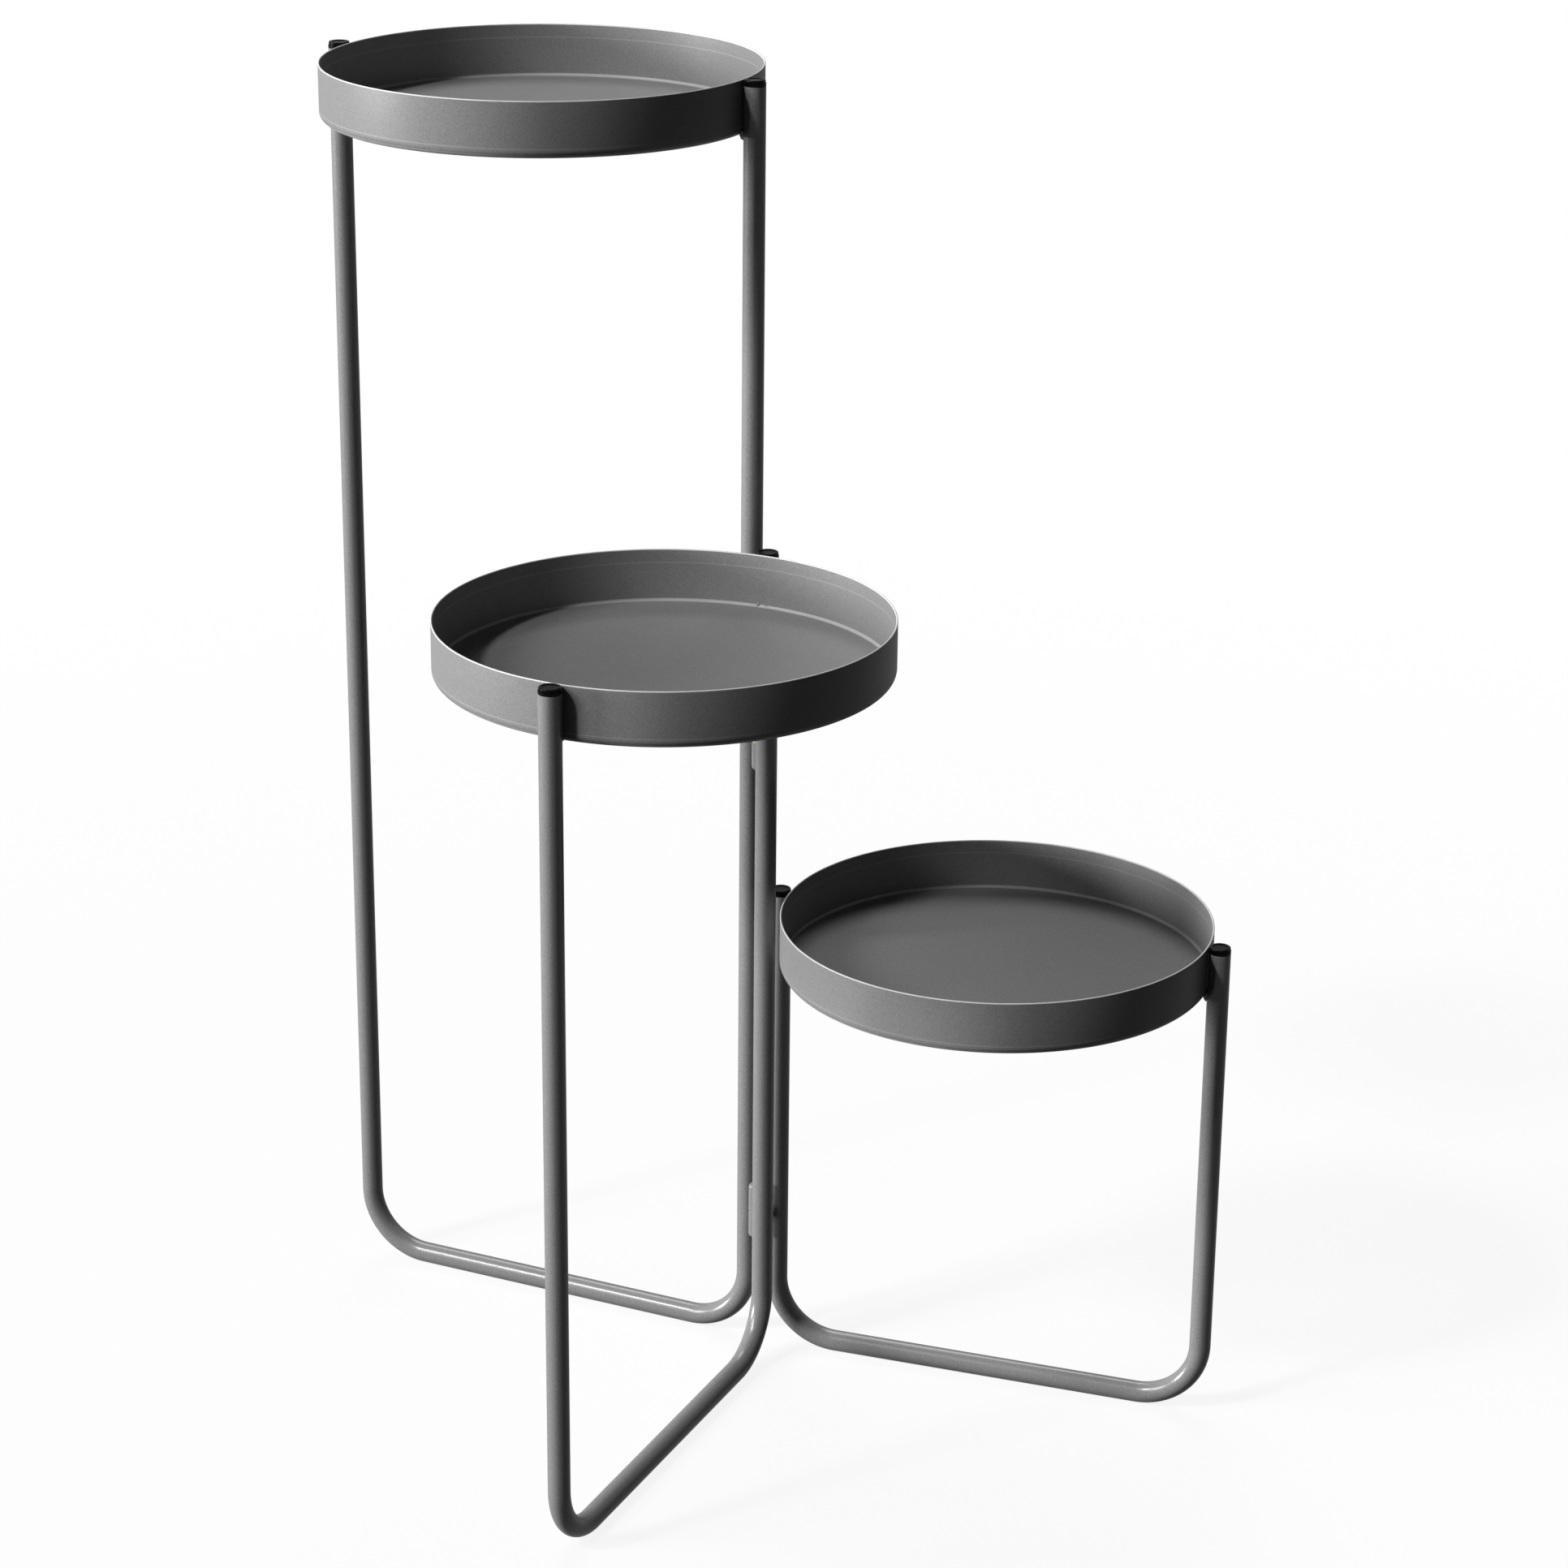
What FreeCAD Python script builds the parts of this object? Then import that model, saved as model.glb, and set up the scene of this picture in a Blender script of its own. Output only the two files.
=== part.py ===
import FreeCAD, Part
import math
import os

# A folding plant stand of three U-shaped tube frames, each with a round tray
# between its two uprights. The tall frame is in the middle of the hinge line.
# The middle frame hangs on its front side and the low frame on its back side.
# Millimetres and degrees, +Z up, the floor at Z = 0.

# Trays: spun steel sheet
tray_diameter = 320.0
tray_height = 40.0
tray_sheet = 1.2
tray_corner_radius = 6.0

# Frames: bent round steel tube
tube_diameter = 16.0
tube_wall = 1.2
bend_radius = 48.0
tall_rim_height = 985.0
middle_rim_height = 650.0
low_rim_height = 380.0
tube_end_drop = 4.0

# Welds between a tray and its uprights
tray_weld_gap = 0.2
tray_weld_radius = 5.0
tray_weld_inset = 0.6
tray_weld_reach = 3.0

# Plastic plugs in the tube ends
plug_collar_height = 2.2
plug_groove_height = 0.5
plug_groove_depth = 0.7
plug_cap_height = 1.9
plug_cap_inset = 0.4
plug_cap_round = 0.8
plug_dimple_inset = 2.6
plug_dimple_depth = 0.5
plug_stem_length = 15.0
plug_stem_wall = 1.6
plug_stem_slack = 0.05

# Weld-on hinges with a fixed pin
knuckle_diameter = 10.0
knuckle_length = 22.0
knuckle_round = 3.0
knuckle_to_tube = 4.0
pin_diameter = 5.0
pin_depth = 16.0
pin_running_gap = 0.05
pin_tip_gap = 0.6
pin_tip_chamfer = 0.5
washer_thickness = 1.0
washer_inset = 0.4
washer_bore_gap = 0.1
hinge_float = 0.1
bottom_hinge_height = 116.0
middle_top_hinge_drop = 150.0
low_top_hinge_drop = 90.0
hinge_weld_radius = 2.2
hinge_weld_step = 2.8
hinge_weld_beads = 3
hinge_weld_setback = 1.0

# How far each side frame stands open from its closed place along the tall one
middle_open_angle = 90.0
low_open_angle = 174.0

# Worked out from the sizes above
tube_radius = tube_diameter / 2
tray_radius = tray_diameter / 2
knuckle_radius = knuckle_diameter / 2
pin_radius = pin_diameter / 2
upright_spacing = tray_diameter + tube_diameter + 2 * tray_weld_gap
pin_offset = tube_radius + knuckle_to_tube + knuckle_radius
plug_bore_radius = tube_radius - tube_wall
tall_heading = 180.0
pin_bearing = 45.0

up = FreeCAD.Vector(0, 0, 1)


def turned(length, angle):
    radians = math.radians(angle)
    return FreeCAD.Vector(length * math.cos(radians), length * math.sin(radians), 0)


def at_height(place, z):
    return FreeCAD.Vector(place.x, place.y, z)


class Frame:
    def __init__(self, name, inner, heading, rim_height):
        self.name = name
        self.inner = inner
        self.heading = heading
        self.rim_height = rim_height
        self.outer = inner + turned(upright_spacing, heading)
        self.tray_centre = inner + turned(upright_spacing / 2, heading)
        self.tray_bottom = rim_height - tray_height
        self.tube_end = rim_height - tube_end_drop

    def move(self, shift):
        self.inner = self.inner + shift
        self.outer = self.outer + shift
        self.tray_centre = self.tray_centre + shift


# Each pin stands at 45 degrees off the corner of the tall frame's inner upright,
# and the side frame's inner upright is as far from the pin on its own side.
front_pin = turned(pin_offset, -pin_bearing)
back_pin = turned(pin_offset, pin_bearing)
middle_heading = tall_heading + middle_open_angle
low_heading = tall_heading - low_open_angle
tall = Frame("tall", FreeCAD.Vector(0, 0, 0), tall_heading, tall_rim_height)
middle_inner = front_pin + turned(pin_offset, middle_heading + pin_bearing)
middle = Frame("middle", middle_inner, middle_heading, middle_rim_height)
low_inner = back_pin + turned(pin_offset, low_heading - pin_bearing)
low = Frame("low", low_inner, low_heading, low_rim_height)
frames = [tall, middle, low]

# The origin is under the middle of the whole stand's outline
discs = []
for frame in frames:
    discs.append((frame.inner, tube_radius))
    discs.append((frame.outer, tube_radius))
    discs.append((frame.tray_centre, tray_radius))
low_x = min(place.x - radius for place, radius in discs)
high_x = max(place.x + radius for place, radius in discs)
low_y = min(place.y - radius for place, radius in discs)
high_y = max(place.y + radius for place, radius in discs)
to_origin = FreeCAD.Vector(-(low_x + high_x) / 2, -(low_y + high_y) / 2, 0)
for frame in frames:
    frame.move(to_origin)
front_pin = front_pin + to_origin
back_pin = back_pin + to_origin


def export(shape, node):
    shape.exportStep("parts/" + node + ".step")
    size = shape.BoundBox
    print(node, "solids", len(shape.Solids), "valid", shape.isValid(), "volume", round(shape.Volume, 1),
          "z", round(size.ZMin, 2), round(size.ZMax, 2))


def spun(profile, place):
    # A closed outline of (radius, height) edges, turned about a vertical axis
    face = Part.Face(Part.Wire(profile))
    solid = face.revolve(FreeCAD.Vector(0, 0, 0), up, 360)
    solid.translate(place)
    return solid


def line(start, end):
    return Part.makeLine(FreeCAD.Vector(start[0], 0, start[1]), FreeCAD.Vector(end[0], 0, end[1]))


def corner_arc(centre, radius, start_angle, end_angle):
    points = []
    for angle in (start_angle, (start_angle + end_angle) / 2, end_angle):
        offset = turned(radius, angle)
        points.append(FreeCAD.Vector(centre[0] + offset.x, 0, centre[1] + offset.y))
    return Part.Arc(*points).toShape()


def outline(points):
    edges = []
    for index in range(len(points)):
        edges.append(line(points[index - 1], points[index]))
    return edges


# Tubes
def tube_path(frame):
    rail_z = tube_radius
    bend_z = rail_z + bend_radius
    along = turned(1, frame.heading)
    inner_top = at_height(frame.inner, frame.tube_end)
    inner_bend = at_height(frame.inner, bend_z)
    inner_rail = at_height(frame.inner + along * bend_radius, rail_z)
    outer_rail = at_height(frame.outer - along * bend_radius, rail_z)
    outer_bend = at_height(frame.outer, bend_z)
    outer_top = at_height(frame.outer, frame.tube_end)
    half = bend_radius * (1 - math.cos(math.radians(45)))
    inner_middle = at_height(frame.inner + along * half, rail_z + half)
    outer_middle = at_height(frame.outer - along * half, rail_z + half)
    return Part.Wire([
        Part.makeLine(inner_top, inner_bend),
        Part.Arc(inner_bend, inner_middle, inner_rail).toShape(),
        Part.makeLine(inner_rail, outer_rail),
        Part.Arc(outer_rail, outer_middle, outer_bend).toShape(),
        Part.makeLine(outer_bend, outer_top),
    ])


def rod_along(frame, radius):
    start = at_height(frame.inner, frame.tube_end)
    section = Part.Wire([Part.makeCircle(radius, start, up)])
    return tube_path(frame).makePipeShell([section], True, False)


def make_tube(frame):
    return rod_along(frame, tube_radius).cut(rod_along(frame, plug_bore_radius))


# Trays
def make_tray(frame):
    bottom = frame.tray_bottom
    floor_top = bottom + tray_sheet
    corner = (tray_radius - tray_corner_radius, bottom + tray_corner_radius)
    inner_round = tray_corner_radius - tray_sheet
    inner_wall = tray_radius - tray_sheet
    profile = [
        line((0, bottom), (corner[0], bottom)),
        corner_arc(corner, tray_corner_radius, -90, 0),
        line((tray_radius, corner[1]), (tray_radius, frame.rim_height)),
        line((tray_radius, frame.rim_height), (inner_wall, frame.rim_height)),
        line((inner_wall, frame.rim_height), (inner_wall, corner[1])),
        corner_arc(corner, inner_round, 0, -90),
        line((corner[0], floor_top), (0, floor_top)),
        line((0, floor_top), (0, bottom)),
    ]
    return spun(profile, frame.tray_centre)


def make_tray_weld():
    # One bead under a tray at the origin, against an upright on its +X side
    corner = (tray_radius - tray_corner_radius, tray_corner_radius)
    tray_space = spun([
        line((0, 0), (corner[0], 0)),
        corner_arc(corner, tray_corner_radius, -90, 0),
        line((tray_radius, corner[1]), (tray_radius, tray_height)),
        line((tray_radius, tray_height), (0, tray_height)),
        line((0, tray_height), (0, 0)),
    ], FreeCAD.Vector(0, 0, 0))
    upright = FreeCAD.Vector(upright_spacing / 2, 0, -tray_height)
    upright_space = Part.makeCylinder(tube_radius, 2 * tray_height, upright, up)
    middle = FreeCAD.Vector(tray_radius - tray_weld_inset, 0, 0)
    bead = Part.makeSphere(tray_weld_radius, middle)
    width = 2 * tray_weld_radius
    # The bead stays where the gap is wide enough for it, below tray_weld_reach
    above = middle + FreeCAD.Vector(-tray_weld_radius, -tray_weld_radius, tray_weld_reach)
    bead = bead.cut(Part.makeBox(width, width, width, above))
    return bead.cut(tray_space).cut(upright_space)


def make_tray_welds(frame):
    beads = []
    for side_turn in (0, 180):
        bead = make_tray_weld()
        bead.rotate(FreeCAD.Vector(0, 0, 0), up, frame.heading + side_turn)
        bead.translate(at_height(frame.tray_centre, frame.tray_bottom))
        beads.extend(bead.Solids)
    return Part.makeCompound(beads)


# Plugs
def make_plug(place, frame):
    seat = frame.tube_end
    collar_top = seat + plug_collar_height
    groove_top = collar_top + plug_groove_height
    cap_top = groove_top + plug_cap_height
    cap_radius = tube_radius - plug_cap_inset
    groove_radius = cap_radius - plug_groove_depth
    round_centre = (cap_radius - plug_cap_round, cap_top - plug_cap_round)
    dimple_radius = tube_radius - plug_dimple_inset
    dimple_floor = cap_top - plug_dimple_depth
    stem_radius = plug_bore_radius - plug_stem_slack
    stem_bottom = seat - plug_stem_length
    hollow_radius = stem_radius - plug_stem_wall
    profile = [
        line((0, dimple_floor), (dimple_radius, dimple_floor)),
        line((dimple_radius, dimple_floor), (dimple_radius, cap_top)),
        line((dimple_radius, cap_top), (round_centre[0], cap_top)),
        corner_arc(round_centre, plug_cap_round, 90, 0),
        line((cap_radius, round_centre[1]), (cap_radius, groove_top)),
        line((cap_radius, groove_top), (groove_radius, groove_top)),
        line((groove_radius, groove_top), (groove_radius, collar_top)),
        line((groove_radius, collar_top), (tube_radius, collar_top)),
        line((tube_radius, collar_top), (tube_radius, seat)),
        line((tube_radius, seat), (stem_radius, seat)),
        line((stem_radius, seat), (stem_radius, stem_bottom)),
        line((stem_radius, stem_bottom), (hollow_radius, stem_bottom)),
        line((hollow_radius, stem_bottom), (hollow_radius, seat)),
        line((hollow_radius, seat), (0, seat)),
        line((0, seat), (0, dimple_floor)),
    ]
    return spun(profile, place)


# Hinges
class Hinge:
    def __init__(self, name, pin_place, joint_height, side_frame):
        self.name = name
        self.place = pin_place
        self.side_frame = side_frame
        self.lower_face = joint_height - washer_thickness / 2
        self.washer_top = self.lower_face + washer_thickness
        self.upper_face = self.washer_top + hinge_float


middle_top_hinge_height = middle_rim_height - middle_top_hinge_drop
low_top_hinge_height = low_rim_height - low_top_hinge_drop
hinges = [
    Hinge("middle_bottom_hinge", front_pin, bottom_hinge_height, middle),
    Hinge("middle_top_hinge", front_pin, middle_top_hinge_height, middle),
    Hinge("low_bottom_hinge", back_pin, bottom_hinge_height, low),
    Hinge("low_top_hinge", back_pin, low_top_hinge_height, low),
]


def make_knuckle(place, face, direction, bore_radius):
    # Bored from its face, with a rounded closed end; direction is 1 up or -1 down
    end = face + direction * knuckle_length
    floor = face + direction * pin_depth
    shoulder = end - direction * knuckle_round
    profile = [
        line((bore_radius, face), (knuckle_radius, face)),
        line((knuckle_radius, face), (knuckle_radius, shoulder)),
        corner_arc((knuckle_radius - knuckle_round, shoulder), knuckle_round, 0, direction * 90),
        line((knuckle_radius - knuckle_round, end), (0, end)),
        line((0, end), (0, floor)),
        line((0, floor), (bore_radius, floor)),
        line((bore_radius, floor), (bore_radius, face)),
    ]
    return spun(profile, place)


def make_pin(hinge):
    bottom = hinge.lower_face - pin_depth
    top = hinge.upper_face + pin_depth - pin_tip_gap
    tip = pin_radius - pin_tip_chamfer
    return spun(outline([
        (0, bottom),
        (tip, bottom),
        (pin_radius, bottom + pin_tip_chamfer),
        (pin_radius, top - pin_tip_chamfer),
        (tip, top),
        (0, top),
    ]), hinge.place)


def make_washer(hinge):
    hole = pin_radius + washer_bore_gap
    edge = knuckle_radius - washer_inset
    return spun(outline([
        (hole, hinge.lower_face),
        (edge, hinge.lower_face),
        (edge, hinge.washer_top),
        (hole, hinge.washer_top),
    ]), hinge.place)


def make_hinge_weld(upright, pin_place, face, direction):
    # A short row of beads across the gap between an upright and a knuckle
    across = pin_place - upright
    run = None
    for index in range(hinge_weld_beads):
        depth = hinge_weld_setback + hinge_weld_radius + index * hinge_weld_step
        start = at_height(upright, face + direction * depth)
        bead = Part.makeCylinder(hinge_weld_radius, across.Length, start, across)
        run = bead if run is None else run.fuse(bead)
    base = face + direction * knuckle_length
    bottom = min(face, base)
    upright_space = Part.makeCylinder(tube_radius, knuckle_length, at_height(upright, bottom), up)
    knuckle_space = Part.makeCylinder(knuckle_radius, knuckle_length, at_height(pin_place, bottom), up)
    return run.cut(upright_space).cut(knuckle_space).Solids


os.makedirs("parts", exist_ok=True)

for frame in frames:
    export(make_tube(frame), frame.name + "_tube")
    export(make_tray(frame), frame.name + "_tray")
    export(make_tray_welds(frame), frame.name + "_tray_welds")
    export(make_plug(frame.inner, frame), frame.name + "_inner_plug")
    export(make_plug(frame.outer, frame), frame.name + "_outer_plug")

hinge_welds = {}
for frame in frames:
    hinge_welds[frame.name] = []

for hinge in hinges:
    lower = make_knuckle(hinge.place, hinge.lower_face, -1, pin_radius)
    upper = make_knuckle(hinge.place, hinge.upper_face, 1, pin_radius + pin_running_gap)
    export(lower, hinge.name + "_lower_knuckle")
    export(upper, hinge.name + "_upper_knuckle")
    export(make_pin(hinge), hinge.name + "_pin")
    export(make_washer(hinge), hinge.name + "_washer")
    side_frame = hinge.side_frame
    hinge_welds["tall"] += make_hinge_weld(tall.inner, hinge.place, hinge.lower_face, -1)
    hinge_welds[side_frame.name] += make_hinge_weld(side_frame.inner, hinge.place, hinge.upper_face, 1)

for frame in frames:
    export(Part.makeCompound(hinge_welds[frame.name]), frame.name + "_hinge_welds")

print("origin shift", round(to_origin.x, 4), round(to_origin.y, 4))
for frame in frames:
    print(frame.name, "inner", round(frame.inner.x, 4), round(frame.inner.y, 4),
          "outer", round(frame.outer.x, 4), round(frame.outer.y, 4), "heading", frame.heading)
print("front pin", round(front_pin.x, 4), round(front_pin.y, 4))
print("back pin", round(back_pin.x, 4), round(back_pin.y, 4))
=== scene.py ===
import math
import bmesh
import bpy
from mathutils import Matrix, Vector


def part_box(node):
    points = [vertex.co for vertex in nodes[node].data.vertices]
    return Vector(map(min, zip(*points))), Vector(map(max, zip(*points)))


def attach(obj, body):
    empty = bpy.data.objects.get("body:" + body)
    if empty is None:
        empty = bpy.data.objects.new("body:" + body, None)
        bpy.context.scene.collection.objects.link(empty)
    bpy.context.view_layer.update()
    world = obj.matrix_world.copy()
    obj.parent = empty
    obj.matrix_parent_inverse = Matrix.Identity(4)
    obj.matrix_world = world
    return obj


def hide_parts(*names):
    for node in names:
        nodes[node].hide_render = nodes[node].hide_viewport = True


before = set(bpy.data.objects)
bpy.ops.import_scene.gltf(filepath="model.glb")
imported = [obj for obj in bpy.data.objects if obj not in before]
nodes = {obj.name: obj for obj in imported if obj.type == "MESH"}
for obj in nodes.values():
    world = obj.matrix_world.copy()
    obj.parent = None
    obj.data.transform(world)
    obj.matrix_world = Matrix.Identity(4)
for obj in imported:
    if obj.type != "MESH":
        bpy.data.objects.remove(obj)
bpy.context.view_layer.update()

scene = bpy.context.scene
mm = 0.001

# The three frames, told apart by the height of their rims
stand = {
    "frames": ("tall", "middle", "low"),
    "hinges": ("middle_bottom_hinge", "middle_top_hinge", "low_bottom_hinge", "low_top_hinge"),
    "tubeRadius": 8.0 * mm,
    "bendRadius": 48.0 * mm,
}


def boxMiddle(node):
    low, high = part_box(node)
    return (low + high) / 2


def placesOf(name):
    # Where one frame's uprights and tray stand, read from its own nodes
    inner = boxMiddle(name + "_inner_plug")
    outer = boxMiddle(name + "_outer_plug")
    trayLow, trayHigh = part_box(name + "_tray")
    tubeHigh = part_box(name + "_tube")[1]
    return {
        "body": name + "_frame",
        "inner": Vector((inner.x, inner.y, 0)),
        "outer": Vector((outer.x, outer.y, 0)),
        "centre": Vector(((inner.x + outer.x) / 2, (inner.y + outer.y) / 2, 0)),
        "trayBottom": trayLow.z,
        "rim": trayHigh.z,
        "tubeTop": tubeHigh.z,
    }


places = {name: placesOf(name) for name in stand["frames"]}


# Node helpers
def feed(tree, socket, value):
    # A socket takes a link or a plain value
    if hasattr(value, "is_output"):
        tree.links.new(value, socket)
    else:
        socket.default_value = value


def nodeOf(tree, kind, inputs=None, **settings):
    node = tree.nodes.new(kind)
    for name, value in settings.items():
        setattr(node, name, value)
    for name, value in (inputs or {}).items():
        feed(tree, node.inputs[name], value)
    return node


def mathNode(tree, operation, first, second=0.0, third=0.0):
    values = {0: first, 1: second, 2: third}
    return nodeOf(tree, "ShaderNodeMath", values, operation=operation).outputs[0]


def noiseNode(tree, vector, scale, detail=2.0, roughness=0.5):
    node = nodeOf(tree, "ShaderNodeTexNoise", {
        "Vector": vector, "Scale": scale, "Detail": detail, "Roughness": roughness})
    return node.outputs["Fac"]


def spread(tree, factor, first, last, start=0.3, end=0.7):
    # A ramp from one level to another while the factor goes from start to end
    node = nodeOf(tree, "ShaderNodeValToRGB", {"Fac": factor})
    for element, place, level in zip(node.color_ramp.elements, (start, end), (first, last)):
        element.position = place
        element.color = (level, level, level, 1)
    return node.outputs[0]


def mixNode(tree, factor, first, second, blend):
    # Sockets 6 and 7 of a Mix node are its two colours, and output 2 is the mixed one
    mixed = nodeOf(tree, "ShaderNodeMix", {"Factor": factor}, data_type="RGBA", blend_type=blend)
    feed(tree, mixed.inputs[6], first)
    feed(tree, mixed.inputs[7], second)
    return mixed.outputs[2]


def multiplied(tree, first, second):
    return mixNode(tree, 1.0, first, second, "MULTIPLY")


def mixedTo(tree, factor, tint, grey):
    return mixNode(tree, factor, tint, (grey, grey, grey, 1), "MIX")


def bumped(tree, height, depth, strength):
    return nodeOf(tree, "ShaderNodeBump", {
        "Strength": strength, "Distance": depth, "Height": height}).outputs["Normal"]


def newMaterial(name):
    material = bpy.data.materials.new(name)
    material.use_nodes = True
    tree = material.node_tree
    shader = tree.nodes["Principled BSDF"]
    place = nodeOf(tree, "ShaderNodeTexCoord").outputs["Object"]
    return material, tree, shader, place


def dress(tree, shader, looks):
    for name, value in looks.items():
        feed(tree, shader.inputs[name], value)


# Powder coat: an even grey with a fine grain and orange peel
coat = {
    "grey": 0.24,
    "mottle": 0.015,
    "mottleScale": 26.0,
    "grainScale": 1100.0,
    "grainDark": 0.84,
    "grainLight": 1.14,
    "tubeRoughness": 0.24,
    "trayRoughness": 0.42,
    "tubeShine": 0.50,
    "trayShine": 0.26,
    "worn": 0.015,
    "wornScale": 60.0,
    "peelScale": 620.0,
    "peelDepth": 0.025 * mm,
    "peelStrength": 0.55,
}

# The trays, and the marks that only their coat has, with highlights painted on the rolled line, the inner
# corner and the rim
tray = {
    "radius": 160.0 * mm,
    "sheet": 1.2 * mm,
    "corner": 6.0 * mm,
    "innerCorner": 2.0 * mm,
    "rimRound": 0.5 * mm,
    "around": 288,
    "steps": 10,
    "pitScale": 110.0,
    "pitSize": 0.045,
    "pitSkip": 0.5,
    "pitDepth": 0.08 * mm,
    "pitDirt": 0.7,
    "pitGrey": 0.02,
    "streakScale": 900.0,
    "streakShade": 0.03,
    "streakDepth": 0.15,
    # Where the rolled line runs; its pale band is a painted highlight
    "innerLine": 10.0 * mm,
    "outerLine": 7.0 * mm,
    "lineHalf": 0.4 * mm,
    "lineHighlightShare": 0.22,
    "lineHighlightGrey": 0.6,
    # A painted highlight: a pale band in the inner corner round the floor
    "cornerHighlightReach": 0.9,
    "cornerHighlightGrey": 0.42,
    # A painted highlight: a bright band along the top of the rim
    "rimHighlightBand": 0.7 * mm,
    "rimHighlightGrey": 0.75,
}


def coatMaterial(name, trayPlace=None):
    material, tree, shader, place = newMaterial(name)
    cloud = noiseNode(tree, place, coat["mottleScale"], detail=4.0, roughness=0.6)
    grain = noiseNode(tree, place, coat["grainScale"], detail=1.0)
    dark = coat["grey"] * (1 - coat["mottle"])
    light = coat["grey"] * (1 + coat["mottle"])
    speckle = spread(tree, grain, coat["grainDark"], coat["grainLight"])
    tint = multiplied(tree, spread(tree, cloud, dark, light), speckle)
    height = noiseNode(tree, place, coat["peelScale"], roughness=0.55)
    if trayPlace:
        tint, height = trayDetail(tree, place, tint, height, trayPlace)
    level = coat["trayRoughness"] if trayPlace else coat["tubeRoughness"]
    worn = noiseNode(tree, place, coat["wornScale"], detail=3.0)
    rough = spread(tree, worn, level - coat["worn"], level + coat["worn"])
    normal = bumped(tree, height, coat["peelDepth"], coat["peelStrength"])
    if trayPlace:
        tint, normal = trayPits(tree, place, tint, normal)
    shine = coat["trayShine"] if trayPlace else coat["tubeShine"]
    dress(tree, shader, {
        "Base Color": tint, "Roughness": rough, "Normal": normal, "Specular IOR Level": shine})
    return material


def trayPits(tree, place, tint, normal):
    # One small dot in the middle of a cell, kept in some of the cells only
    cells = nodeOf(tree, "ShaderNodeTexVoronoi", {
        "Vector": place, "Scale": tray["pitScale"], "Randomness": 1.0})
    dot = spread(tree, cells.outputs["Distance"], 1.0, 0.0, start=0.0, end=tray["pitSize"])
    lot = nodeOf(tree, "ShaderNodeSeparateColor", {"Color": cells.outputs["Color"]})
    chosen = mathNode(tree, "GREATER_THAN", lot.outputs[0], tray["pitSkip"])
    pit = mathNode(tree, "MULTIPLY", dot, chosen)
    sunk = nodeOf(tree, "ShaderNodeBump", {
        "Strength": 1.0, "Distance": tray["pitDepth"], "Height": pit, "Normal": normal}, invert=True)
    dirty = mixedTo(tree, mathNode(tree, "MULTIPLY", pit, tray["pitDirt"]), tint, tray["pitGrey"])
    return dirty, sunk.outputs["Normal"]


def trayDetail(tree, place, tint, height, trayPlace):
    # Spinning marks run round the tray
    centre = trayPlace["centre"]
    centred = nodeOf(tree, "ShaderNodeMapping", {
        "Vector": place, "Location": (-centre.x, -centre.y, 0)})
    parts = nodeOf(tree, "ShaderNodeSeparateXYZ", {"Vector": centred.outputs[0]})
    level = parts.outputs[2]
    flat = nodeOf(tree, "ShaderNodeCombineXYZ", {"X": parts.outputs[0], "Y": parts.outputs[1], "Z": 0.0})
    span = nodeOf(tree, "ShaderNodeVectorMath", {0: flat.outputs[0]}, operation="LENGTH")
    radius = span.outputs["Value"]
    ring = nodeOf(tree, "ShaderNodeCombineXYZ", {"X": radius, "Y": 0.0, "Z": level})
    streak = noiseNode(tree, ring.outputs[0], tray["streakScale"], detail=3.0, roughness=0.7)
    shade = tray["streakShade"]
    tint = multiplied(tree, tint, spread(tree, streak, 1 - shade, 1 + shade, start=0.25, end=0.75))

    # A rolled line runs round the wall, high on the inside and low on the outside; its pale band is a
    # painted highlight on the crease
    inside = mathNode(tree, "LESS_THAN", radius, tray["radius"] - tray["sheet"] / 2)
    outside = mathNode(tree, "SUBTRACT", 1.0, inside)
    innerLine = trayPlace["rim"] - tray["innerLine"]
    outerLine = trayPlace["trayBottom"] + tray["outerLine"]
    high = mathNode(tree, "COMPARE", level, innerLine, tray["lineHalf"])
    low = mathNode(tree, "COMPARE", level, outerLine, tray["lineHalf"])
    line = mathNode(tree, "MULTIPLY_ADD", high, inside, mathNode(tree, "MULTIPLY", low, outside))
    tint = mixedTo(tree, mathNode(tree, "MULTIPLY", line, tray["lineHighlightShare"]), tint, tray["lineHighlightGrey"])

    # Painted highlights: a pale band in the inner corner round the floor, and a bright band along the rim
    reach = tray["innerCorner"] * tray["cornerHighlightReach"]
    nearFloor = mathNode(tree, "LESS_THAN", level, trayPlace["trayBottom"] + tray["sheet"] + reach)
    nearWall = mathNode(tree, "GREATER_THAN", radius, tray["radius"] - tray["sheet"] - reach)
    paintedCornerHighlight = mathNode(tree, "MULTIPLY", mathNode(tree, "MULTIPLY", nearFloor, nearWall), inside)
    tint = mixedTo(tree, paintedCornerHighlight, tint, tray["cornerHighlightGrey"])
    # Painted highlight along the top of the rim
    paintedRimHighlight = mathNode(tree, "GREATER_THAN", level, trayPlace["rim"] - tray["rimHighlightBand"])
    tint = mixedTo(tree, paintedRimHighlight, tint, tray["rimHighlightGrey"])
    return tint, mathNode(tree, "MULTIPLY_ADD", streak, tray["streakDepth"], height)


plugLook = {
    "darkGrey": 0.0021,
    "paleGrey": 0.0042,
    "roughness": 0.22,
    "uneven": 0.12,
    "shine": 0.10,
    "grainScale": 900.0,
    "wornScale": 260.0,
    "grainDepth": 0.02 * mm,
    "grainStrength": 0.3,
}


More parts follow.
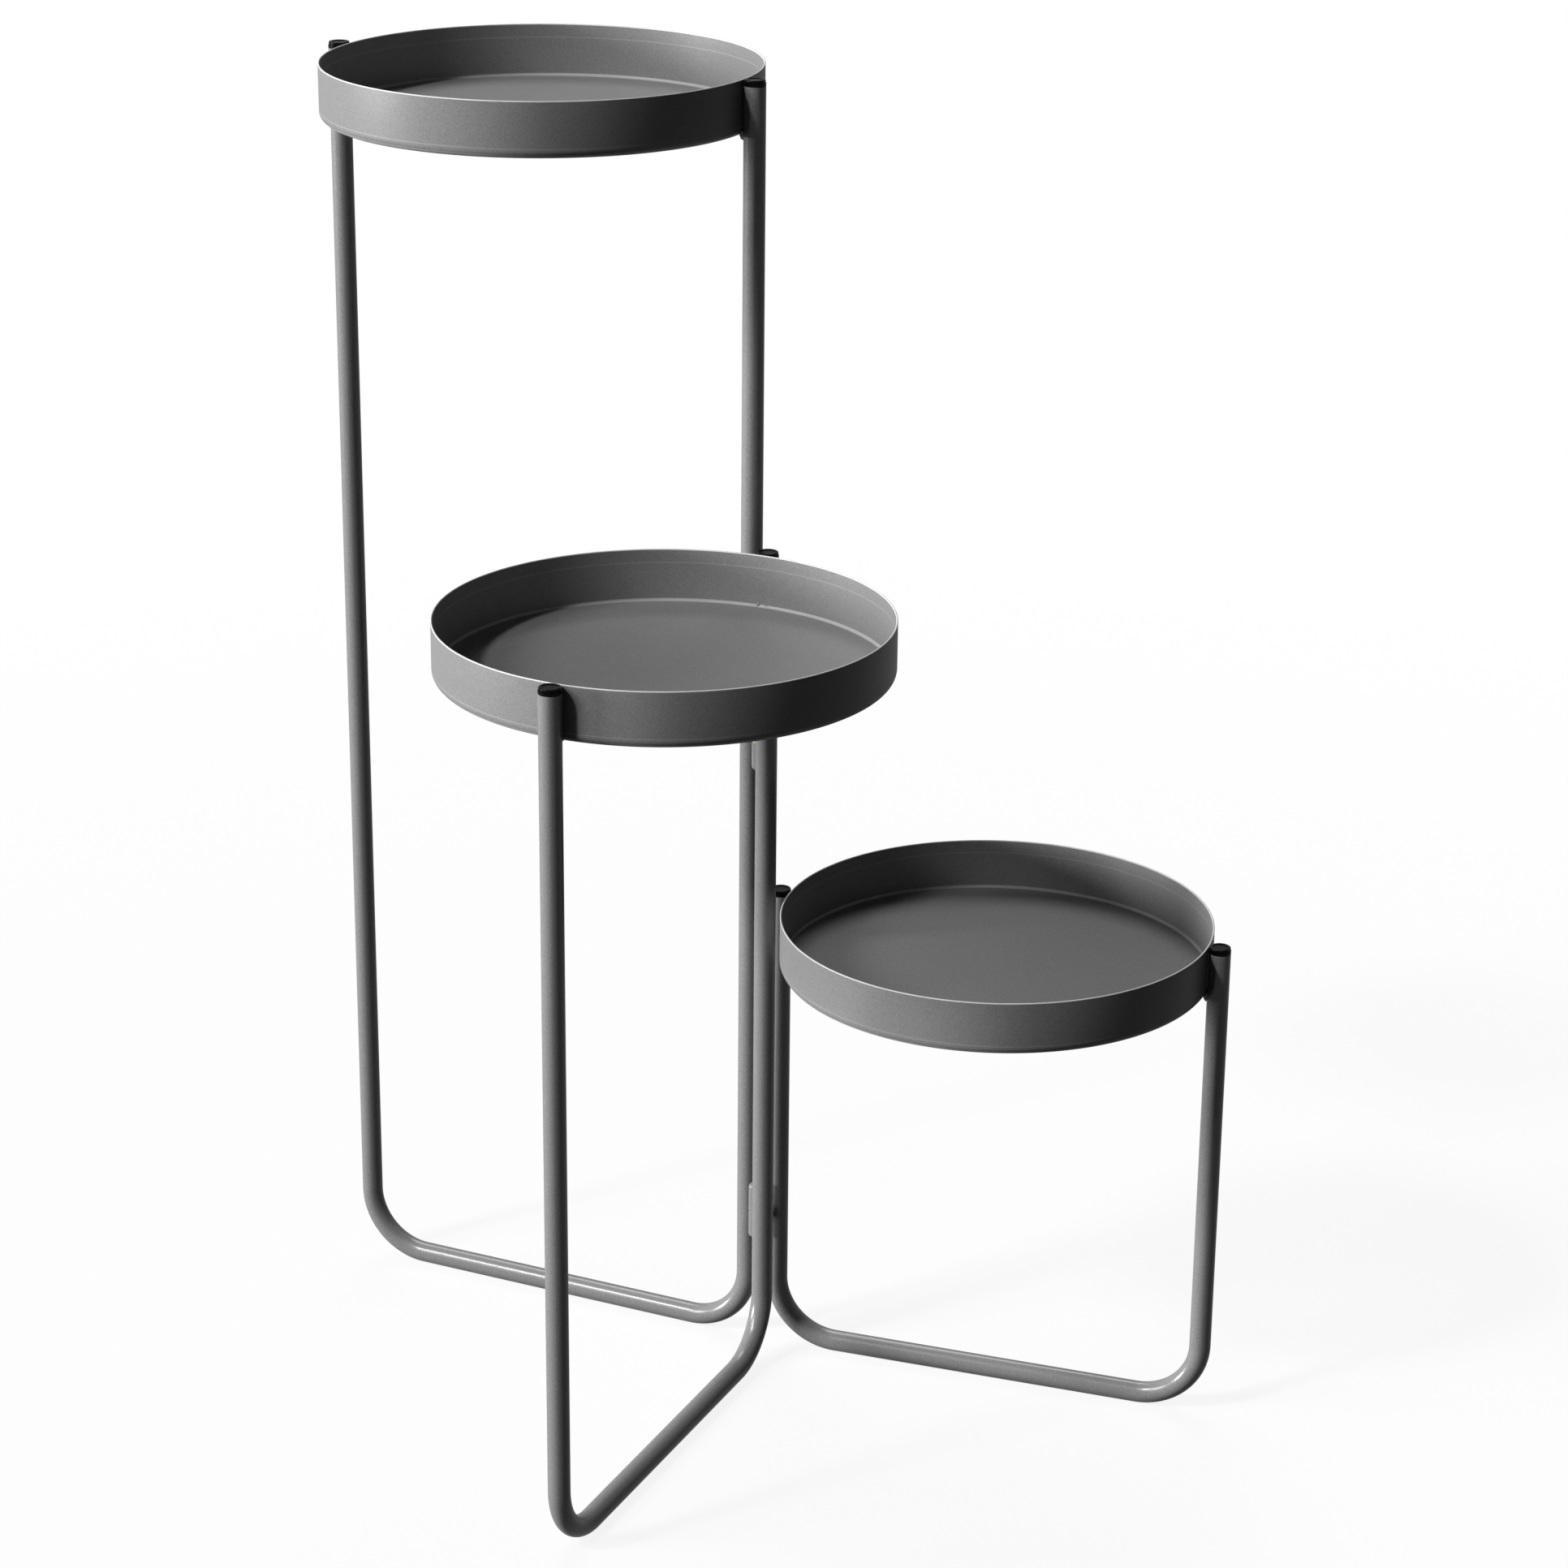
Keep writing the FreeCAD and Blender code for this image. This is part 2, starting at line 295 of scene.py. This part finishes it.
def plugMaterial():
    material, tree, shader, place = newMaterial("glossyBlackPlug")
    grain = noiseNode(tree, place, plugLook["grainScale"])
    tint = spread(tree, grain, plugLook["darkGrey"], plugLook["paleGrey"])
    worn = noiseNode(tree, place, plugLook["wornScale"], detail=3.0)
    level = plugLook["roughness"]
    rough = spread(tree, worn, level, level + plugLook["uneven"], start=0.35)
    normal = bumped(tree, grain, plugLook["grainDepth"], plugLook["grainStrength"])
    dress(tree, shader, {
        "Base Color": tint, "Roughness": rough, "Normal": normal,
        "Specular IOR Level": plugLook["shine"]})
    return material


metals = {
    "turnedPinSteel": {"colour": (0.62, 0.61, 0.60, 1), "roughness": 0.28, "lineScale": 2600.0},
    "washerBrass": {"colour": (0.71, 0.53, 0.27, 1), "roughness": 0.32, "lineScale": 900.0},
}
turning = {"acrossScale": 40.0, "darkest": 0.8, "uneven": 0.15, "depth": 0.02 * mm, "strength": 0.4}


def metalMaterial(name):
    # Turned metal: fine rings round the upright axis
    look = metals[name]
    material, tree, shader, place = newMaterial(name)
    across = turning["acrossScale"]
    stretched = nodeOf(tree, "ShaderNodeMapping", {
        "Vector": place, "Scale": (across, across, look["lineScale"])})
    lines = noiseNode(tree, stretched.outputs[0], scale=1.0, detail=3.0)
    tint = multiplied(tree, spread(tree, lines, turning["darkest"], 1.0), look["colour"])
    level = look["roughness"]
    rough = spread(tree, lines, level, level + turning["uneven"])
    normal = bumped(tree, lines, turning["depth"], turning["strength"])
    dress(tree, shader, {
        "Base Color": tint, "Roughness": rough, "Normal": normal, "Metallic": 1.0})
    return material


frameCoat = coatMaterial("frameCoat")
trayCoats = {name: coatMaterial(name + "TrayCoat", places[name]) for name in stand["frames"]}
plugBlack = plugMaterial()
pinSteel = metalMaterial("turnedPinSteel")
washerBrass = metalMaterial("washerBrass")
print("materials made")


# Geometry Nodes helpers
def newTree(name, sockets):
    tree = bpy.data.node_groups.new(name, "GeometryNodeTree")
    tree.interface.new_socket("Geometry", in_out="INPUT", socket_type="NodeSocketGeometry")
    for label, kind in sockets:
        tree.interface.new_socket(label, in_out="INPUT", socket_type=kind)
    tree.interface.new_socket("Geometry", in_out="OUTPUT", socket_type="NodeSocketGeometry")
    given = tree.nodes.new("NodeGroupInput")
    result = tree.nodes.new("NodeGroupOutput")
    return tree, given.outputs, result.inputs["Geometry"]


def closeTree(tree, geometry, material, result):
    real = nodeOf(tree, "GeometryNodeRealizeInstances", {"Geometry": geometry})
    painted = nodeOf(tree, "GeometryNodeSetMaterial", {"Geometry": real.outputs[0], "Material": material})
    tree.links.new(painted.outputs[0], result)


baking = {"mergeGap": 0.01 * mm, "sharpAngle": 35.0}


def bakeTree(name, tree, values):
    # The tree's result as a plain mesh at the origin, welded, facing outwards
    blank = bpy.data.meshes.new(name + "Blank")
    piece = bpy.data.objects.new(name, blank)
    scene.collection.objects.link(piece)
    modifier = piece.modifiers.new(name + "Nodes", "NODES")
    modifier.node_group = tree
    for item in tree.interface.items_tree:
        if item.in_out == "INPUT" and item.name in values:
            modifier[item.identifier] = values[item.name]
    bpy.context.view_layer.update()
    graph = bpy.context.evaluated_depsgraph_get()
    baked = bpy.data.meshes.new_from_object(piece.evaluated_get(graph), depsgraph=graph)
    piece.modifiers.remove(modifier)
    shape = bmesh.new()
    shape.from_mesh(baked)
    bmesh.ops.remove_doubles(shape, verts=shape.verts, dist=baking["mergeGap"])
    bmesh.ops.recalc_face_normals(shape, faces=shape.faces)
    shape.to_mesh(baked)
    shape.free()
    baked.shade_smooth()
    baked.set_sharp_from_angle(angle=math.radians(baking["sharpAngle"]))
    piece.data = baked
    bpy.data.meshes.remove(blank)
    return piece


def byIndex(tree, kind, values):
    # Each point of a curve or line takes its own value, in order
    index = nodeOf(tree, "GeometryNodeInputIndex").outputs[0]
    chooser = nodeOf(tree, "GeometryNodeIndexSwitch", data_type=kind)
    while len(chooser.index_switch_items) < len(values):
        chooser.index_switch_items.new()
    tree.links.new(index, chooser.inputs["Index"])
    for number, value in enumerate(values):
        feed(tree, chooser.inputs[number + 1], value)
    return chooser.outputs[0]


def pointLine(tree, spots):
    # A curve through the given spots, in order
    row = nodeOf(tree, "GeometryNodeMeshLine", {"Count": len(spots)})
    moved = nodeOf(tree, "GeometryNodeSetPosition", {
        "Geometry": row.outputs[0], "Position": byIndex(tree, "VECTOR", spots)})
    return nodeOf(tree, "GeometryNodeMeshToCurve", {"Mesh": moved.outputs[0]}).outputs[0]


def spot(tree, x, y, z):
    return nodeOf(tree, "ShaderNodeCombineXYZ", {"X": x, "Y": y, "Z": z}).outputs[0]


# Bent tubes: a filleted path with a round section, a small chamfer at each end
tube = {"sides": 64, "bendSteps": 28, "chamfer": 0.5 * mm}


def makeTubeTree():
    tree, given, result = newTree("bentTube", (
        ("Inner", "NodeSocketVector"), ("Outer", "NodeSocketVector"), ("Top", "NodeSocketFloat"),
        ("Tube Radius", "NodeSocketFloat"), ("Bend Radius", "NodeSocketFloat"),
        ("Chamfer", "NodeSocketFloat"), ("Sides", "NodeSocketInt"), ("Bend Steps", "NodeSocketInt"),
        ("Material", "NodeSocketMaterial")))
    top = spot(tree, 0.0, 0.0, given["Top"])
    shoulder = spot(tree, 0.0, 0.0, mathNode(tree, "SUBTRACT", given["Top"], given["Chamfer"]))
    rail = spot(tree, 0.0, 0.0, given["Tube Radius"])

    def raised(foot, height):
        return nodeOf(tree, "ShaderNodeVectorMath", {0: foot, 1: height}, operation="ADD").outputs[0]

    line = pointLine(tree, (
        raised(given["Inner"], top), raised(given["Inner"], shoulder), raised(given["Inner"], rail),
        raised(given["Outer"], rail), raised(given["Outer"], shoulder), raised(given["Outer"], top)))
    bends = byIndex(tree, "FLOAT", (0.0, 0.0, given["Bend Radius"], given["Bend Radius"], 0.0, 0.0))
    bent = nodeOf(tree, "GeometryNodeFilletCurve", {
        "Curve": line, "Radius": bends, "Count": given["Bend Steps"]}, mode="POLY")
    ends = nodeOf(tree, "GeometryNodeCurveEndpointSelection", {"Start Size": 1, "End Size": 1})
    cut = mathNode(tree, "DIVIDE", given["Chamfer"], given["Tube Radius"])
    narrow = mathNode(tree, "SUBTRACT", 1.0, cut)
    share = nodeOf(tree, "GeometryNodeSwitch", {
        "Switch": ends.outputs[0], "False": 1.0, "True": narrow}, input_type="FLOAT")
    ring = nodeOf(tree, "GeometryNodeCurvePrimitiveCircle", {
        "Resolution": given["Sides"], "Radius": given["Tube Radius"]})
    skin = nodeOf(tree, "GeometryNodeCurveToMesh", {
        "Curve": bent.outputs[0], "Profile Curve": ring.outputs[0],
        "Scale": share.outputs[0], "Fill Caps": True})
    closeTree(tree, skin.outputs[0], given["Material"], result)
    return tree


tubeTree = makeTubeTree()
for name, place in places.items():
    piece = bakeTree(name + "BentTube", tubeTree, {
        "Inner": place["inner"], "Outer": place["outer"], "Top": place["tubeTop"],
        "Tube Radius": stand["tubeRadius"], "Bend Radius": stand["bendRadius"],
        "Chamfer": tube["chamfer"], "Sides": tube["sides"], "Bend Steps": tube["bendSteps"],
        "Material": frameCoat})
    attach(piece, place["body"])
    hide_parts(name + "_tube")
print("tubes bent")


# Trays: one filleted profile swept round the tray's middle
def makeTrayTree():
    tree, given, result = newTree("spunTray", (
        ("Centre", "NodeSocketVector"), ("Radius", "NodeSocketFloat"), ("Height", "NodeSocketFloat"),
        ("Sheet", "NodeSocketFloat"), ("Corner Radius", "NodeSocketFloat"),
        ("Inner Corner", "NodeSocketFloat"), ("Rim Round", "NodeSocketFloat"),
        ("Around", "NodeSocketInt"), ("Steps", "NodeSocketInt"), ("Material", "NodeSocketMaterial")))
    toAxis = mathNode(tree, "MULTIPLY", given["Radius"], -1.0)
    # The sweep turns the profile's Y downwards, so heights are negative too
    sheet = mathNode(tree, "MULTIPLY", given["Sheet"], -1.0)
    rimLevel = mathNode(tree, "MULTIPLY", given["Height"], -1.0)
    profile = pointLine(tree, (
        spot(tree, toAxis, 0.0, 0.0), spot(tree, 0.0, 0.0, 0.0), spot(tree, 0.0, rimLevel, 0.0),
        spot(tree, sheet, rimLevel, 0.0), spot(tree, sheet, sheet, 0.0),
        spot(tree, toAxis, sheet, 0.0)))
    rounds = byIndex(tree, "FLOAT", (
        0.0, given["Corner Radius"], given["Rim Round"], given["Rim Round"], given["Inner Corner"], 0.0))
    eased = nodeOf(tree, "GeometryNodeFilletCurve", {
        "Curve": profile, "Radius": rounds, "Count": given["Steps"]}, mode="POLY")
    circle = nodeOf(tree, "GeometryNodeCurvePrimitiveCircle", {
        "Resolution": given["Around"], "Radius": given["Radius"]})
    sweep = nodeOf(tree, "GeometryNodeCurveToMesh", {
        "Curve": circle.outputs[0], "Profile Curve": eased.outputs[0]})
    placed = nodeOf(tree, "GeometryNodeTransform", {
        "Geometry": sweep.outputs[0], "Translation": given["Centre"]})
    closeTree(tree, placed.outputs[0], given["Material"], result)
    return tree


trayTree = makeTrayTree()
for name, place in places.items():
    piece = bakeTree(name + "SpunTray", trayTree, {
        "Centre": place["centre"] + Vector((0, 0, place["trayBottom"])), "Radius": tray["radius"],
        "Height": place["rim"] - place["trayBottom"], "Sheet": tray["sheet"],
        "Corner Radius": tray["corner"], "Inner Corner": tray["innerCorner"],
        "Rim Round": tray["rimRound"], "Around": tray["around"], "Steps": tray["steps"],
        "Material": trayCoats[name]})
    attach(piece, place["body"])
    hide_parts(name + "_tray")
print("trays spun")


# Welds: runs of overlapping beads, under each tray corner and beside each hinge knuckle
runSpots = ("Start", "Middle", "End")
weld = {
    "bead": 2.1 * mm,
    "smooth": 4,
    "beads": 7,
    "uneven": 0.16,
    "seed": 11,
    "trayFlank": 3.4 * mm,
    "trayRise": 2.6 * mm,
    "trayDip": 5.2 * mm,
    "hingeStart": 3.0 * mm,
    "hingeLength": 6.2 * mm,
    "hingeGap": 2.0 * mm,
}


def runSocket(label, number):
    return label + " " + str(number)


def makeWeldTree(runs):
    sockets = [
        ("Bead Radius", "NodeSocketFloat"), ("Beads", "NodeSocketInt"), ("Smooth", "NodeSocketInt"),
        ("Uneven", "NodeSocketFloat"), ("Seed", "NodeSocketInt"), ("Material", "NodeSocketMaterial")]
    for number in range(runs):
        sockets += [(runSocket(label, number), "NodeSocketVector") for label in runSpots]
    tree, given, result = newTree("weldBeads", sockets)
    joined = tree.nodes.new("GeometryNodeJoinGeometry")
    for number in range(runs):
        path = nodeOf(tree, "GeometryNodeCurveQuadraticBezier", {
            label: given[runSocket(label, number)] for label in runSpots})
        tree.links.new(path.outputs[0], joined.inputs[0])
    evened = nodeOf(tree, "GeometryNodeResampleCurve", {
        "Curve": joined.outputs[0], "Count": given["Beads"]})
    bead = nodeOf(tree, "GeometryNodeMeshIcoSphere", {
        "Radius": given["Bead Radius"], "Subdivisions": given["Smooth"]})
    least = mathNode(tree, "SUBTRACT", 1.0, given["Uneven"])
    most = mathNode(tree, "ADD", 1.0, given["Uneven"])
    size = nodeOf(tree, "FunctionNodeRandomValue", {
        2: least, 3: most, "Seed": given["Seed"]}, data_type="FLOAT")
    placed = nodeOf(tree, "GeometryNodeInstanceOnPoints", {
        "Points": evened.outputs[0], "Instance": bead.outputs[0], "Scale": size.outputs[1]})
    closeTree(tree, placed.outputs[0], given["Material"], result)
    return tree


def trayRuns(place):
    # From one flank of the joint, under the corner of the tray, to the other flank
    runs = []
    for upright in (place["inner"], place["outer"]):
        towards = (place["centre"] - upright).normalized()
        across = Vector((-towards.y, towards.x, 0)) * weld["trayFlank"]
        joint = upright + towards * stand["tubeRadius"] + Vector((0, 0, place["trayBottom"]))
        rise = Vector((0, 0, weld["trayRise"]))
        dip = Vector((0, 0, weld["trayDip"]))
        runs.append((joint - across + rise, joint - dip, joint + across + rise))
    return runs


def hingeRun(hinge, knuckle, upright):
    # Along the gap between a knuckle and its upright, starting near the washer
    low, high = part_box(hinge + "_" + knuckle + "_knuckle")
    middle = Vector(((low.x + high.x) / 2, (low.y + high.y) / 2, 0))
    gap = upright + (middle - upright).normalized() * (stand["tubeRadius"] + weld["hingeGap"])
    face, step = (high.z, -1) if knuckle == "lower" else (low.z, 1)
    start = gap + Vector((0, 0, face + step * weld["hingeStart"]))
    end = start + Vector((0, 0, step * weld["hingeLength"]))
    return (start, (start + end) / 2, end)


for name, place in places.items():
    runs = trayRuns(place)
    for hinge in stand["hinges"]:
        if name == "tall":
            runs.append(hingeRun(hinge, "lower", place["inner"]))
        elif hinge.startswith(name):
            runs.append(hingeRun(hinge, "upper", place["inner"]))
    values = {
        "Bead Radius": weld["bead"], "Beads": weld["beads"], "Smooth": weld["smooth"],
        "Uneven": weld["uneven"], "Seed": weld["seed"], "Material": frameCoat}
    for number, run in enumerate(runs):
        for label, value in zip(runSpots, run):
            values[runSocket(label, number)] = value
    piece = bakeTree(name + "WeldBeads", makeWeldTree(len(runs)), values)
    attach(piece, place["body"])
    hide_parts(name + "_tray_welds", name + "_hinge_welds")
print("welds laid")


# Carried-over nodes take their finish here
def paint(node, material):
    mesh = nodes[node].data
    mesh.materials.clear()
    mesh.materials.append(material)


for name in stand["frames"]:
    for upright in ("inner", "outer"):
        paint(name + "_" + upright + "_plug", plugBlack)
for hinge in stand["hinges"]:
    paint(hinge + "_lower_knuckle", frameCoat)
    paint(hinge + "_upper_knuckle", frameCoat)
    paint(hinge + "_pin", pinSteel)
    paint(hinge + "_washer", washerBrass)
print("nodes painted")


# Floor, light and camera
studio = {
    "floorHalf": 14.0,
    "floorRoughness": 0.9,
    "floorShine": 0.1,
    "cloudScale": 3.0,
    "cloudShade": 0.995,
    "floorGrey": 0.98,
    "floorWhite": 0.88,
    "nearFloor": 0.7,
    "farFloor": 2.6,
    "floorDull": 0.03,
    "worldGrey": 0.005,
    "shineShare": 0.35,
}

# Each lamp: strength, spread in degrees, degrees left of the front, degrees up
lamps = {
    "lowLight": (3.8, 14.0, 62.0, 3.0),
    "keyLight": (1.5, 18.0, 42.0, 30.0),
    "lineLight": (1.3, 6.0, 33.0, 45.0),
    "backLight": (1.0, 30.0, 150.0, 55.0),
}


def seenRays(tree):
    # White for the camera, and a share of it for what the shiny surfaces reflect
    rays = nodeOf(tree, "ShaderNodeLightPath")
    seen = mathNode(tree, "MAXIMUM", rays.outputs["Is Camera Ray"], rays.outputs["Is Transmission Ray"])
    shone = mathNode(tree, "MULTIPLY", rays.outputs["Is Glossy Ray"], studio["shineShare"])
    return mathNode(tree, "MAXIMUM", seen, shone)


def makeFloor():
    half = studio["floorHalf"]
    mesh = bpy.data.meshes.new("floor")
    corners = [(-half, -half, 0), (half, -half, 0), (half, half, 0), (-half, half, 0)]
    mesh.from_pydata(corners, [], [(0, 1, 2, 3)])
    floor = bpy.data.objects.new("floor", mesh)
    scene.collection.objects.link(floor)
    material, tree, shader, place = newMaterial("paleFloor")
    grey = studio["floorGrey"]
    cloud = noiseNode(tree, place, studio["cloudScale"])
    dress(tree, shader, {
        "Base Color": spread(tree, cloud, grey * studio["cloudShade"], grey),
        "Roughness": studio["floorRoughness"], "Specular IOR Level": studio["floorShine"]})
    glow = nodeOf(tree, "ShaderNodeEmission", {"Color": (1, 1, 1, 1), "Strength": 1.0})
    # The shadow stays near the stand, and the far floor runs out into the white
    away = nodeOf(tree, "ShaderNodeVectorMath", {0: place}, operation="LENGTH").outputs["Value"]
    share = nodeOf(tree, "ShaderNodeMapRange", {
        "Value": away, "From Min": studio["nearFloor"], "From Max": studio["farFloor"],
        "To Min": studio["floorWhite"], "To Max": 1.0}, interpolation_type="SMOOTHSTEP")
    pale = nodeOf(tree, "ShaderNodeMixShader", {
        0: share.outputs[0], 1: shader.outputs[0], 2: glow.outputs[0]})
    # The light that the floor throws back on the stand is a dull one
    dull = nodeOf(tree, "ShaderNodeBsdfDiffuse", {"Color": (studio["floorDull"],) * 3 + (1,)})
    blend = nodeOf(tree, "ShaderNodeMixShader", {
        0: seenRays(tree), 1: dull.outputs[0], 2: pale.outputs[0]})
    tree.links.new(blend.outputs[0], tree.nodes["Material Output"].inputs["Surface"])
    mesh.materials.append(material)


def makeWorld():
    world = bpy.data.worlds.new("studio")
    scene.world = world
    world.use_nodes = True
    tree = world.node_tree
    soft = nodeOf(tree, "ShaderNodeBackground", {
        "Color": (1, 1, 1, 1), "Strength": studio["worldGrey"]})
    white = nodeOf(tree, "ShaderNodeBackground", {"Color": (1, 1, 1, 1), "Strength": 1.0})
    pick = nodeOf(tree, "ShaderNodeMixShader", {
        0: seenRays(tree), 1: soft.outputs[0], 2: white.outputs[0]})
    tree.links.new(pick.outputs[0], tree.nodes["World Output"].inputs["Surface"])


def makeSun(name, strength, spread, left, up):
    lamp = bpy.data.lights.new(name, "SUN")
    lamp.energy = strength
    lamp.angle = math.radians(spread)
    sun = bpy.data.objects.new(name, lamp)
    side, rise = math.radians(left), math.radians(up)
    level = math.cos(rise)
    source = Vector((-level * math.sin(side), -level * math.cos(side), math.sin(rise)))
    sun.rotation_euler = source.to_track_quat("Z", "Y").to_euler()
    scene.collection.objects.link(sun)


makeFloor()
makeWorld()
for name, lamp in lamps.items():
    makeSun(name, *lamp)

# The camera fitted to the photo, in metres and degrees, with its lens in millimetres
eye = {
    "place": (1.158, -2.4132, 1.4792),
    "heading": 24.484,
    "pitch": 20.214,
    "roll": 0.562,
    "lens": 90.83,
    "sensor": 36.0,
    "nearest": 0.05,
    "farthest": 100.0,
}


def makeCamera():
    lens = bpy.data.cameras.new("eye")
    lens.lens = eye["lens"]
    lens.sensor_width = eye["sensor"]
    lens.clip_start = eye["nearest"]
    lens.clip_end = eye["farthest"]
    camera = bpy.data.objects.new("eye", lens)
    turn = Matrix.Rotation(math.radians(eye["heading"]), 4, "Z")
    tilt = Matrix.Rotation(math.radians(90 - eye["pitch"]), 4, "X")
    roll = Matrix.Rotation(math.radians(eye["roll"]), 4, "Z")
    camera.matrix_world = Matrix.Translation(eye["place"]) @ turn @ tilt @ roll
    scene.collection.objects.link(camera)
    scene.camera = camera


makeCamera()
scene.view_settings.view_transform = "Standard"
print("studio ready")
